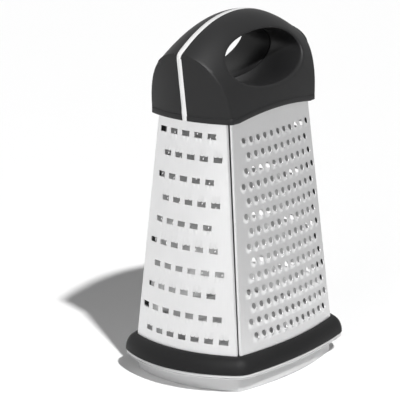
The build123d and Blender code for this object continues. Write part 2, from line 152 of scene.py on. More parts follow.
@dataclass(frozen=True)
class BodyTaper:
    """Sizes of the tapering steel body at its corner seams, in millimetres."""

    foot_height: float = 26.6
    crown_height: float = 187.4
    foot: BowedPlan = BowedPlan(56.9, 45.2, 11.4, 6.4, 0.0)
    crown: BowedPlan = BowedPlan(47.9, 31.1, 5.2, 3.3, 0.0)
    foot_seam_gap: float = 0.2
    crown_seam_gap: float = 0.4

    def share_at(self, height: float) -> float:
        """How far up the body a height is."""
        return (height - self.foot_height) / (self.crown_height - self.foot_height)

    def plan(self, height: float, grow: float = 0.0, rounding: float = 0.0) -> BowedPlan:
        """Plan of the body at a height, its corners rounded and its outline grown.

        Args:
            height: Height above the table.
            grow: How far the outline moves outwards.
            rounding: Radius of the corners.

        Returns:
            The plan.
        """
        plan = self.foot.blended(self.crown, self.share_at(height))
        inset = rounding - grow
        return BowedPlan(
            plan.half_length - inset, plan.half_width - inset, plan.end_bow, plan.side_bow, rounding
        )

    def seam_direction(self, height: float) -> Vector:
        """Unit vector along the corner seam, inwards, in the quarter +X +Y."""
        plan = self.plan(height)
        side_turn = 2 * atan(plan.side_bow / plan.half_length)
        end_turn = 2 * atan(plan.end_bow / plan.half_width)
        lean = Vector((cos(side_turn) - sin(end_turn), cos(end_turn) - sin(side_turn)))
        return -lean.normalized()

    def seam_gap(self, height: float) -> float:
        """Gap between two flanges at a height."""
        return self.foot_seam_gap + (self.crown_seam_gap - self.foot_seam_gap) * self.share_at(height)


class Value:
    """A socket of a shader's tree, on which plain arithmetic adds Math nodes."""

    def __init__(self, tree: bpy.types.NodeTree, socket: bpy.types.NodeSocket) -> None:
        """Hold one output socket of a tree."""
        self.tree = tree
        self.socket = socket

    def _math(self, operation: str, first: "Value | float", second: "Value | float") -> "Value":
        """Add a Math node.

        Args:
            operation: Name of the Math node's operation.
            first: First operand.
            second: Second operand.

        Returns:
            The node's result.
        """
        node = self.tree.nodes.new("ShaderNodeMath")
        node.operation = operation
        for place, operand in enumerate((first, second)):
            if isinstance(operand, Value):
                self.tree.links.new(operand.socket, node.inputs[place])
            else:
                node.inputs[place].default_value = operand
        return Value(self.tree, node.outputs[0])

    def __add__(self, other: "Value | float") -> "Value":
        """Sum."""
        return self._math("ADD", self, other)

    def __radd__(self, other: float) -> "Value":
        """Sum, reflected."""
        return self._math("ADD", other, self)

    def __sub__(self, other: "Value | float") -> "Value":
        """Difference."""
        return self._math("SUBTRACT", self, other)

    def __rsub__(self, other: float) -> "Value":
        """Difference, reflected."""
        return self._math("SUBTRACT", other, self)

    def __mul__(self, other: "Value | float") -> "Value":
        """Product."""
        return self._math("MULTIPLY", self, other)

    def __rmul__(self, other: float) -> "Value":
        """Product, reflected."""
        return self._math("MULTIPLY", other, self)

    def __truediv__(self, other: "Value | float") -> "Value":
        """Quotient."""
        return self._math("DIVIDE", self, other)

    def __rtruediv__(self, other: float) -> "Value":
        """Quotient, reflected."""
        return self._math("DIVIDE", other, self)

    def __pow__(self, other: "Value | float") -> "Value":
        """Power."""
        return self._math("POWER", self, other)

    def at_least(self, limit: float) -> "Value":
        """The value, or the limit where that is more."""
        return self._math("MAXIMUM", self, limit)

    def at_most(self, limit: float) -> "Value":
        """The value, or the limit where that is less."""
        return self._math("MINIMUM", self, limit)


class Bench:
    """A new material with its shader, and the one method that adds any other node."""

    def __init__(self, name: str, world: bpy.types.World | None = None) -> None:
        """Start a material with one Principled shader, or clear the nodes of a world.

        Args:
            name: Name of the material.
            world: World to fill in place of a material.
        """
        owner = world or bpy.data.materials.new(name)
        owner.use_nodes = True
        self.tree = owner.node_tree
        self.tree.nodes.clear()
        if world is not None:
            self.surface = self.node("ShaderNodeOutputWorld")
            return
        self.material = owner
        self.surface = self.node("ShaderNodeOutputMaterial")
        self.shader = self.node("ShaderNodeBsdfPrincipled")
        self.connect(self.surface, "Surface", self.value(self.shader))
        self.place = self.value(self.node("ShaderNodeTexCoord"), "Object")

    def node(self, kind: str, settings: dict | None = None, inputs: dict | None = None) -> bpy.types.Node:
        """Add a node.

        Args:
            kind: Type of the node.
            settings: Its properties, set first.
            inputs: Values or links of its sockets, by name or number.

        Returns:
            The node.
        """
        node = self.tree.nodes.new(kind)
        for name, setting in (settings or {}).items():
            setattr(node, name, setting)
        for name, content in (inputs or {}).items():
            self.connect(node, name, content)
        return node

    def connect(self, node: bpy.types.Node, name: str | int, content: object) -> None:
        """Link a value to a socket, or set the socket's own value."""
        if isinstance(content, Value):
            self.tree.links.new(content.socket, node.inputs[name])
        else:
            node.inputs[name].default_value = content

    def value(self, node: bpy.types.Node, output: str | int = 0) -> Value:
        """One output of a node, ready for arithmetic."""
        return Value(self.tree, node.outputs[output])

    def stretched(self, scale: tuple[float, float, float]) -> Value:
        """Object coordinates, scaled along each axis."""
        return self.value(self.node("ShaderNodeMapping", {}, {"Vector": self.place, "Scale": scale}))

    def attribute(self, name: str) -> Value:
        """Number that a mesh carries at each of its points."""
        return self.value(self.node("ShaderNodeAttribute", {"attribute_name": name}), "Fac")

    def towards(self, direction: tuple[float, float, float], place: Value) -> Value:
        """How far a place lies in a direction."""
        product = self.node("ShaderNodeVectorMath", {"operation": "DOT_PRODUCT"}, {0: place, 1: direction})
        return self.value(product, "Value")

    def noise(
        self, scale: float, detail: float = 2.0, roughness: float = 0.5, place: Value | None = None
    ) -> Value:
        """Soft random pattern from 0 to 1.

        Args:
            scale: Patches to the metre.
            detail: Octaves.
            roughness: Weight of the fine octaves.
            place: Coordinates, or the object's own.

        Returns:
            The pattern.
        """
        texture = self.node(
            "ShaderNodeTexNoise",
            {"noise_dimensions": "3D"},
            {"Vector": place or self.place, "Scale": scale, "Detail": detail, "Roughness": roughness},
        )
        return self.value(texture, "Fac")

    def mixed(self, share: Value, low: Value | tuple[float, ...], high: Value | tuple[float, ...]) -> Value:
        """Colour between two colours.

        Args:
            share: How far towards the second.
            low: First colour.
            high: Second colour.

        Returns:
            The mixed colour.
        """
        first, second = (end if isinstance(end, Value) else (*end, 1.0) for end in (low, high))
        mix = self.node("ShaderNodeMix", {"data_type": "RGBA"}, {0: share, 6: first, 7: second})
        return self.value(mix, 2)

    def bump(self, height: Value, strength: float, distance: float) -> Value:
        """Relief from a pattern.

        Args:
            height: The pattern.
            strength: Share of the relief that counts.
            distance: Depth in metres where the pattern goes from 0 to 1.

        Returns:
            The normal.
        """
        inputs = {"Height": height, "Strength": strength, "Distance": distance}
        return self.value(self.node("ShaderNodeBump", {}, inputs))

    def finish(self, **inputs: object) -> bpy.types.Material:
        """Set the shader's sockets, named with underscores for blanks, and return the material."""
        for name, content in inputs.items():
            self.connect(self.shader, name.replace("_", " "), content)
        return self.material


@dataclass(frozen=True)
class BrushedSteel:
    """Stainless sheet: a fine vertical grain, cloudy smears, painted shade along the seam and a matt inner
    side.
    """

    name: str
    bright: tuple[float, float, float] = (0.785, 0.785, 0.785)
    dull: tuple[float, float, float] = (0.685, 0.685, 0.69)
    roughness: float = 0.34
    grain: float = 900.0
    grain_stretch: float = 0.03
    grain_depth: float = 0.00002
    cloud: float = 28.0
    smear: float = 90.0
    smear_stretch: float = 0.25
    # Near-black colour painted along the seam as the shade in the gap between two sheets.
    seam_painted_shade: tuple[float, float, float] = (0.02, 0.02, 0.02)
    inner: tuple[float, float, float] = (0.66, 0.66, 0.66)
    inner_matt: float = 0.95

    def material(self) -> bpy.types.Material:
        """Make the material."""
        bench = Bench(self.name)
        seam, inside = bench.attribute(SEAM_SHADE), bench.attribute(INSIDE)
        grain = bench.noise(self.grain, 3.0, 0.6, bench.stretched((1.0, 1.0, self.grain_stretch)))
        cloud = bench.noise(self.cloud, 4.0, 0.55)
        smear = bench.noise(self.smear, 2.0, 0.5, bench.stretched((1.0, 1.0, self.smear_stretch)))
        colour = bench.mixed(cloud * 0.6 + grain * 0.4, self.dull, self.bright)
        rough = self.roughness - 0.06 + smear * 0.08 + grain * 0.06
        return bench.finish(
            # The seam mask blends in painted shade where the flanges of two sheets meet.
            Base_Color=bench.mixed(seam, bench.mixed(inside, colour, self.inner), self.seam_painted_shade),
            Metallic=1.0 - inside * self.inner_matt,
            Roughness=rough,
            Normal=bench.bump(grain, 0.35, self.grain_depth),
        )


@dataclass(frozen=True)
class MouldedPlastic:
    """Moulded plastic with an eroded grain, faint flow marks and rubbed patches."""

    name: str
    colour: tuple[float, float, float]
    worn: tuple[float, float, float]
    roughness: float = 0.42
    grain: float = 2600.0
    grain_depth: float = 0.00006
    subsurface: float = 0.0
    specular: float = 0.5
    scatter: float = 0.012
    flow: float = 16.0
    rub: float = 60.0

    def material(self) -> bpy.types.Material:
        """Make the material."""
        bench = Bench(self.name)
        grain = bench.noise(self.grain, 2.0, 0.6)
        flow = bench.noise(self.flow, 3.0, 0.5)
        rub = bench.noise(self.rub, 3.0, 0.55)
        colour = bench.mixed((flow * 0.5 + rub * 0.5) ** 1.4, self.colour, self.worn)
        return bench.finish(
            Base_Color=colour,
            Roughness=self.roughness - 0.07 + rub * 0.1 + grain * 0.05,
            Subsurface_Weight=self.subsurface,
            Subsurface_Radius=(self.scatter,) * 3,
            Specular_IOR_Level=self.specular,
            Normal=bench.bump(grain, 0.5, self.grain_depth),
        )


def warped_grid(
    mesh: bmesh.types.BMesh, columns: int, rows: int, place: Callable[[float, float], Vector]
) -> None:
    """Add a grid whose vertices stand where a rule puts them.

    Args:
        mesh: Mesh that takes the grid.
        columns: Cells one way.
        rows: Cells the other way.
        place: Rule from two shares, 0 to 1, to a point in millimetres.
    """
    made = bmesh.ops.create_grid(mesh, x_segments=columns, y_segments=rows, size=0.5)
    for vert in made["verts"]:
        column = round((vert.co.x + 0.5) * columns)
        row = round((vert.co.y + 0.5) * rows)
        vert.co = place(column / columns, row / rows)


def swept_plans(
    mesh: bmesh.types.BMesh, stations: list[tuple[BowedPlan, float]], steps: int, closed: bool
) -> None:
    """Add the surface that runs round a stack of plans.

    Args:
        mesh: Mesh that takes the surface.
        stations: Plans with their heights, in order.
        steps: Cells round the outline.
        closed: Whether the last station joins the first.
    """
    round_trip = stations + stations[:1] if closed else stations
    rows = len(round_trip) - 1

    def place(share: float, level: float) -> Vector:
        plan, height = round_trip[round(level * rows)]
        return Vector((*plan.spot(share), height))

    warped_grid(mesh, steps, rows, place)
    bmesh.ops.remove_doubles(mesh, verts=mesh.verts, dist=SAME_SPOT)
    bmesh.ops.recalc_face_normals(mesh, faces=mesh.faces)


def thicken(mesh: bmesh.types.BMesh, thickness: float) -> None:
    """Give a skin its thickness, inwards.

    Args:
        mesh: The skin, its faces outwards.
        thickness: Thickness of the wall.
    """
    mesh.normal_update()
    outwards = mesh.verts.layers.float_vector.new("outwards")
    inside = mesh.verts.layers.float.new(INSIDE)
    for vert in mesh.verts:
        vert[outwards] = vert.normal
    bmesh.ops.reverse_faces(mesh, faces=mesh.faces)
    made = bmesh.ops.extrude_face_region(mesh, geom=mesh.faces[:], use_keep_orig=True)
    for part in made["geom"]:
        if isinstance(part, bmesh.types.BMVert):
            part.co -= part[outwards] * thickness
            part[inside] = 1.0
    mesh.verts.layers.float_vector.remove(outwards)


def finished_piece(
    mesh: bmesh.types.BMesh,
    name: str,
    material: bpy.types.Material,
    body: str,
    replaced: str,
    sharp_angle: float = 40.0,
) -> bpy.types.Object:
    """Turn a mesh in millimetres into a piece that rides on a body.

    Args:
        mesh: The mesh, which is freed.
        name: Name of the piece.
        material: Its finish.
        body: Body that carries it.
        replaced: Node that it stands for.
        sharp_angle: Angle in degrees from which an edge shows as sharp.

    Returns:
        The piece.
    """
    bmesh.ops.scale(mesh, vec=(MM, MM, MM), verts=mesh.verts)
    data = bpy.data.meshes.new(name)
    mesh.to_mesh(data)
    mesh.free()
    data.shade_smooth()
    data.set_sharp_from_angle(angle=radians(sharp_angle))
    data.materials.append(material)
    piece = bpy.data.objects.new(name, data)
    bpy.context.scene.collection.objects.link(piece)
    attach(piece, body)
    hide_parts(replaced)
    LOG.info("%s: %d faces on %s", name, len(data.polygons), body)
    return piece


@dataclass(frozen=True)
class Tooth:
    """One punched tooth: rings of points round its hole, in a cell of the flat sheet."""

    rise: float

    POINTS = 8
    RINGS = 2

    def spot(self, ring: int, index: int) -> Vector:
        """Place of one point, its height above the sheet in Z."""
        raise NotImplementedError

    def is_slit(self, rings: set[int], indexes: set[int]) -> bool:
        """Whether the face between these rings and points is cut away."""
        return False

    def cell(self, width: float, height: float) -> bpy.types.Mesh:
        """Cell of the flat sheet that holds the tooth.

        Args:
            width: Width of the cell.
            height: Height of the cell.

        Returns:
            The cell as a mesh, its middle at the origin.
        """
        mesh = bmesh.new()
        where = {}
        loops = []
        for ring in range(self.RINGS):
            made = bmesh.ops.create_circle(mesh, segments=self.POINTS, radius=1.0)["verts"]
            loops.append({edge for vert in made for edge in vert.link_edges})
            for index, vert in enumerate(made):
                vert.co = self.spot(ring, index)
                where[vert] = (ring, index)
        border = bmesh.ops.create_circle(mesh, segments=8, radius=1.0)["verts"]
        loops.append({edge for vert in border for edge in vert.link_edges})
        for vert in border:
            vert.co.x = round(vert.co.x) * width / 2
            vert.co.y = round(vert.co.y) * height / 2
        for inner, outer in zip(loops, loops[1:]):
            bmesh.ops.bridge_loops(mesh, edges=[*inner, *outer])
        slits = []
        for face in mesh.faces:
            spots = [where.get(vert) for vert in face.verts]
            if None not in spots and self.is_slit({s[0] for s in spots}, {s[1] for s in spots}):
                slits.append(face)
        bmesh.ops.delete(mesh, geom=slits, context="FACES")
        data = bpy.data.meshes.new("tooth_cell")
        mesh.to_mesh(data)
        mesh.free()
        return data


@dataclass(frozen=True)
class ProngTooth(Tooth):
    """Coarse tooth: a wide hole under two raised prongs with a slit at each side of them."""

    rise: float = 0.7
    width: float = 6.4
    height: float = 3.8
    run: float = 4.2
    slit: float = 0.6
    splay: float = 0.3
    prong_middle: float = 0.5
    prong_half: float = 0.4
    prong_end: float = 0.95
    prong_dip: float = 0.75
    fall_power: float = 1.15

    ACROSS = (1.0, 0.94, 0.7, 0.5, 0.3, 0.05, -0.05, -0.3, -0.5, -0.7, -0.94, -1.0)
    DOWN = (0.4, -0.4)
    SLITS = ({0, 1}, {5, 6}, {10, 11})
    POINTS = 28
    RINGS = 5

    def corner_shares(self, index: int) -> tuple[float, float]:
        """Where a point of a ring stands, as shares of the hole's half sizes."""
        across, down = len(self.ACROSS), len(self.DOWN)
        if index < across:
            return self.ACROSS[index], 1.0
        if index < across + down:
            return -1.0, self.DOWN[index - across]
        if index < 2 * across + down:
            return -self.ACROSS[index - across - down], -1.0
        return 1.0, -self.DOWN[index - 2 * across - down]

    def spot(self, ring: int, index: int) -> Vector:
        """Place of one point, its height above the sheet in Z."""
        out = (0.0, self.slit / 2, self.slit, (self.slit + self.run) / 2, self.run)[ring]
        along, up = self.corner_shares(index)
        if up < 1.0:
            side_out = out * self.splay
            return Vector((along * (self.width / 2 + side_out), up * (self.height / 2 + side_out), 0.0))
        prong = 0.0
        if abs(along) < self.prong_end:
            prong = 1 - self.prong_dip * ((abs(along) - self.prong_middle) / self.prong_half) ** 2
        lift = self.rise * prong * (1 - out / self.run) ** self.fall_power
        return Vector((along * self.width / 2, self.height / 2 + out, lift))

    def is_slit(self, rings: set[int], indexes: set[int]) -> bool:
        """Whether the face between these rings and points is cut away."""
        return rings in ({0, 1}, {1, 2}) and indexes in self.SLITS


@dataclass(frozen=True)
class ScoopTooth(Tooth):
    """Medium tooth: a round hole whose lower lip is pushed outwards."""

    rise: float = 1.25
    hole: float = 4.2
    lip_power: float = 1.3

    # Growth of each ring sideways and upwards, its drop, and its share of the rise.
    PROFILE = ((0.0, 0.0, 0.0, 1.0), (0.4, 0.55, 0.15, 0.8), (0.8, 1.2, 0.6, 0.32), (1.2, 1.9, 1.0, 0.0))
    POINTS = 16
    RINGS = len(PROFILE)

    def spot(self, ring: int, index: int) -> Vector:
        """Place of one point, its height above the sheet in Z."""
        turn = 2 * pi * index / self.POINTS
        sideways, upwards, drop, fall = self.PROFILE[ring]
        wide, tall = self.hole / 2 + sideways, self.hole / 2 + upwards
        lower = ((1 - sin(turn)) / 2) ** self.lip_power
        return Vector((wide * cos(turn), tall * sin(turn) - drop, self.rise * lower * fall))


@dataclass(frozen=True)
class CrownTooth(Tooth):
    """Fine tooth: a small pierced hole with a jagged burr round it."""

    rise: float = 0.55
    hole: float = 1.9
    low_jag: float = 0.55

    # Growth of each ring, and its share of the rise.
    PROFILE = ((0.0, 1.0), (0.3, 0.55), (0.95, 0.0))
    POINTS = 12
    RINGS = len(PROFILE)

    def spot(self, ring: int, index: int) -> Vector:
        """Place of one point, its height above the sheet in Z."""
        turn = 2 * pi * index / self.POINTS
        growth, fall = self.PROFILE[ring]
        radius = self.hole / 2 + growth
        jag = 1.0 if index % 2 or ring else self.low_jag
        return Vector((radius * cos(turn), radius * sin(turn), self.rise * fall * jag))


@dataclass(frozen=True)
class SlicerTooth(Tooth):
    """Slicing slot: a long slot whose lower edge is a raised blade."""

    rise: float = 2.2
    half_slot: float = 24.0
    slot: float = 5.0
    run: float = 6.0
    run_in: float = 3.0
    splay: float = 0.5

    OUT = (0.0, 1.1, 2.6, 4.4, 6.0)
    ALONG = 24
    DOWN = 4
    POINTS = 2 * (ALONG + DOWN)
    RINGS = len(OUT)

    def spot(self, ring: int, index: int) -> Vector:
        """Place of one point, its height above the sheet in Z."""
        out = self.OUT[ring]
        side, part = divmod(index, self.ALONG + self.DOWN)
        if part <= self.ALONG:
            along, up = 1 - 2 * part / self.ALONG, 1.0
        else:
            along, up = -1.0, 1 - 2 * (part - self.ALONG) / self.DOWN
        if side:
            along, up = -along, -up
        half = self.half_slot + out * self.splay
        x = along * half
        y = up * (self.slot / 2 + out * (1.0 if up < 0 else self.splay))
        if up > -1.0:
            return Vector((x, y, 0.0))
        ends = min(1.0, (half - abs(x)) / self.run_in)
        return Vector((x, y, self.rise * (1 - out / self.run) * sin(ends * pi / 2)))


@dataclass(frozen=True)
class SheetSection:
    """Outer line of a folded sheet at one height: bowed face, round bend and flange."""

    radius: float
    centre: float
    bend_start: float
    bend_turn: float
    bend_radius: float
    flange_run: float

    @property
    def bend_run(self) -> float:
        """Length of the bend."""
        return self.bend_radius * self.bend_turn

    @property
    def half_flat(self) -> float:
        """Half width of the flat sheet."""
        return self.bend_start + self.bend_run + self.flange_run

    def spot(self, along: float, lift: float) -> Vector:
        """Point of the folded sheet.

        Args:
            along: Place on the flat sheet, from its middle.
            lift: Height above its outer face.

        Returns:
            Place to the right and outwards.
        """
        side = -1 if along < 0 else 1
        reach = abs(along)
        start_turn = asin(self.bend_start / self.radius)
        if reach <= self.bend_start:
            turn = asin(reach / self.radius)
            right, out = reach, self.centre + self.radius * cos(turn)
        else:
            past = reach - self.bend_start
            turn = start_turn + min(past, self.bend_run) / self.bend_radius
            right = self.bend_start + self.bend_radius * (sin(turn) - sin(start_turn))
            out = self.centre + self.radius * cos(start_turn)
            out += self.bend_radius * (cos(turn) - cos(start_turn))
            straight = max(0.0, past - self.bend_run)
            right += straight * cos(turn)
            out -= straight * sin(turn)
        return Vector((side * (right + lift * sin(turn)), out + lift * cos(turn)))


@dataclass
class SteelSheet:
    """One folded steel sheet with its teeth, in millimetres."""

    name: str
    facing: Facing
    top_row: float
    row_pitch: float
    rows: int
    column_pitch: float
    margin: float
    shift: float = 0.0
    staggered: bool = True
    alternate: bool = False
    middle: float = 0.0
    body: BodyTaper = field(default_factory=BodyTaper)
    bottom: float = 22.6
    top: float = 195.4
    thickness: float = 0.5
    bend_radius: float = 1.7
    flange_depth: float = 7.0

    BEND_LINES = 5
    FACE_LINE = 5.0
    # Share of the bend where the painted seam shade starts, and the share over which it darkens fully.
    SEAM_SHADE_START = 0.6
    SEAM_SHADE_FADE = 0.3
    SHARP_ANGLE = 34.0

    def section(self, height: float) -> SheetSection:
        """Line of the sheet at a height."""
        plan = self.body.plan(height)
        seam = self.body.seam_direction(height)
        if self.facing.is_broad:
            half_chord, distance, bow = plan.half_length, plan.half_width, plan.side_bow
        else:
            half_chord, distance, bow = plan.half_width, plan.half_length, plan.end_bow
            seam = Vector((seam.y, seam.x))
        radius = (half_chord**2 + bow**2) / (2 * bow)
        turn = 2 * atan(bow / half_chord)
        flange_turn = atan2(-seam.y, seam.x)
        lean = sin(flange_turn - turn)
        corner = half_chord - cos(turn) * self.body.seam_gap(height) / 2 / lean
        tangent_run = self.bend_radius * tan((flange_turn - turn) / 2)
        bend_start = corner - cos(turn) * tangent_run
        return SheetSection(
            radius=radius,
            centre=distance + bow - radius,
            bend_start=bend_start,
            bend_turn=flange_turn - asin(bend_start / radius),
            bend_radius=self.bend_radius,
            flange_run=self.flange_depth - tangent_run,
        )

    def half_chord(self, height: float) -> float:
        """Half the chord of the face at a height."""
        plan = self.body.plan(height)
        return plan.half_length if self.facing.is_broad else plan.half_width

    def teeth(self) -> list[tuple[Vector, int]]:
        """Places of the teeth on the flat sheet, each with the number of its row."""
        places = []
        for row in range(self.rows):
            height = self.top_row - row * self.row_pitch
            half = self.half_chord(height)
            start = -self.shift + (row % 2) * self.staggered * self.column_pitch / 2
            count = ceil(half / self.column_pitch)
            for column in range(-count, count + 1):
                along = start + column * self.column_pitch
                if abs(along + self.middle) <= half - self.margin:
                    places.append((Vector((along, height, 0.0)), row))
        return places

    def tooth(self, row: int) -> Tooth:
        """Tooth of a row."""
        raise NotImplementedError

    def blank(self, places: list[tuple[Vector, int]]) -> bmesh.types.BMesh:
        """Flat sheet in cells, with the cells of the teeth left out.

        Args:
            places: Places of the teeth.

        Returns:
            The mesh.
        """
        half_width, half_height = self.column_pitch / 2, self.row_pitch / 2
        widest = max(self.section(self.bottom).half_flat, self.section(self.top).half_flat)
        columns = ceil((widest + abs(self.shift)) / half_width) + 1
        over = ceil((self.top - self.top_row) / half_height)
        under = ceil((self.top_row - self.bottom) / half_height)

        def place(across: float, up: float) -> Vector:
            along = -self.shift + (across * 2 - 1) * columns * half_width
            return Vector((along, self.top_row + (over - (1 - up) * (over + under)) * half_height, 0.0))

        mesh = bmesh.new()
        warped_grid(mesh, 2 * columns, over + under, place)
        taken = []
        for face in mesh.faces:
            middle = face.calc_center_median()
            for spot, _ in places:
                if abs(middle.x - spot.x) < half_width and abs(middle.y - spot.y) < half_height:
                    taken.append(face)
                    break
        bmesh.ops.delete(mesh, geom=taken, context="FACES")
        return mesh

    def press(self, mesh: bmesh.types.BMesh, places: list[tuple[Vector, int]]) -> None:
        """Set the teeth into the blank.

        Args:
            mesh: The blank.
            places: Places of the teeth.
        """
        cells = {}
        for spot, row in places:
            tooth = self.tooth(row)
            if tooth not in cells:
                cells[tooth] = tooth.cell(self.column_pitch, self.row_pitch)
            turned = self.alternate and row % 2 == 0
            place = Matrix.Translation(spot) @ Matrix.Rotation(turned * pi, 4, "Z")
            cells[tooth].transform(place)
            mesh.from_mesh(cells[tooth])
            cells[tooth].transform(place.inverted())
        bmesh.ops.remove_doubles(mesh, verts=mesh.verts, dist=SAME_SPOT)
        bmesh.ops.recalc_face_normals(mesh, faces=mesh.faces)
        mesh.faces.ensure_lookup_table()
        if sum(face.normal.z for face in mesh.faces) < 0:
            bmesh.ops.reverse_faces(mesh, faces=mesh.faces)

    def cut(self, mesh: bmesh.types.BMesh, spot: Vector, normal: Vector, trims: bool) -> None:
        """Cut the flat sheet along a line, and drop what lies beyond it if it trims."""
        geometry = [*mesh.verts, *mesh.edges, *mesh.faces]
        bmesh.ops.bisect_plane(
            mesh, geom=geometry, dist=SAME_SPOT, plane_co=spot, plane_no=normal, clear_outer=trims
        )

    def score(self, mesh: bmesh.types.BMesh) -> None:
        """Trim the flat sheet and cut it along its bends, so that it can fold there."""
        low, high = self.section(self.bottom), self.section(self.top)
        self.cut(mesh, Vector((0, self.bottom, 0)), Vector((0, -1, 0)), True)
        self.cut(mesh, Vector((0, self.top, 0)), Vector((0, 1, 0)), True)
        reaches = [(low.half_flat, high.half_flat)]
        for line in range(self.BEND_LINES + 1):
            share = line / self.BEND_LINES
            reaches.append((low.bend_start + share * low.bend_run, high.bend_start + share * high.bend_run))
        for index, (foot, crown) in enumerate(reaches):
            for side in (-1, 1):
                normal = Vector((side * (self.top - self.bottom), foot - crown, 0)).normalized()
                self.cut(mesh, Vector((side * foot, self.bottom, 0)), normal, index == 0)
        lines = int(high.bend_start / self.FACE_LINE)
        if self.column_pitch > 2 * self.FACE_LINE:
            for line in range(-lines, lines + 1):
                self.cut(mesh, Vector((line * self.FACE_LINE, 0, 0)), Vector((1, 0, 0)), False)

    def fold(self, mesh: bmesh.types.BMesh) -> None:
        """Bend the flat sheet to its shape, note where the painted shade of its seam lies, and give it its
        thickness.
        """
        right, out = self.facing.rightwards, self.facing.outwards
        shade = mesh.verts.layers.float.new(SEAM_SHADE)
        for vert in mesh.verts:
            along, height, lift = vert.co
            section = self.section(height)
            spot = section.spot(along, lift)
            bent = (abs(along) - section.bend_start) / section.bend_run
            # Painted shade: it darkens towards the end of the bend and stays full on the flange, where the
            # gap between sheets lies in shade.
            vert[shade] = min(1.0, max(0.0, (bent - self.SEAM_SHADE_START) / self.SEAM_SHADE_FADE))
            vert.co = right * spot.x + out * spot.y + Vector((0, 0, height))
        thicken(mesh, self.thickness)

    def build(self, material: bpy.types.Material) -> bpy.types.Object:
        """Make the piece.

        Args:
            material: Its finish.

        Returns:
            The piece.
        """
        places = self.teeth()
        mesh = self.blank(places)
        self.press(mesh, places)
        self.score(mesh)
        self.fold(mesh)
        return finished_piece(
            mesh, f"{self.name}_sheet", material, "grater", self.name, self.SHARP_ANGLE
        )


@dataclass
class CoarseSheet(SteelSheet):
    """Narrow sheet with the coarse teeth, every second row upside down."""

    def tooth(self, row: int) -> Tooth:
        """Tooth of a row."""
        return ProngTooth()


@dataclass
class MediumSheet(SteelSheet):
    """Broad sheet with the medium teeth."""

    def tooth(self, row: int) -> Tooth:
        """Tooth of a row."""
        return ScoopTooth()


@dataclass
class FineSheet(SteelSheet):
    """Broad sheet with the fine teeth."""

    def tooth(self, row: int) -> Tooth:
        """Tooth of a row."""
        return CrownTooth()


@dataclass
class SlicerSheet(SteelSheet):
    """Narrow sheet with the slicing slots."""

    slot_margin: float = 11.0

    def tooth(self, row: int) -> Tooth:
        """Tooth of a row."""
        return SlicerTooth(half_slot=self.half_chord(self.top_row - row * self.row_pitch) - self.slot_margin)


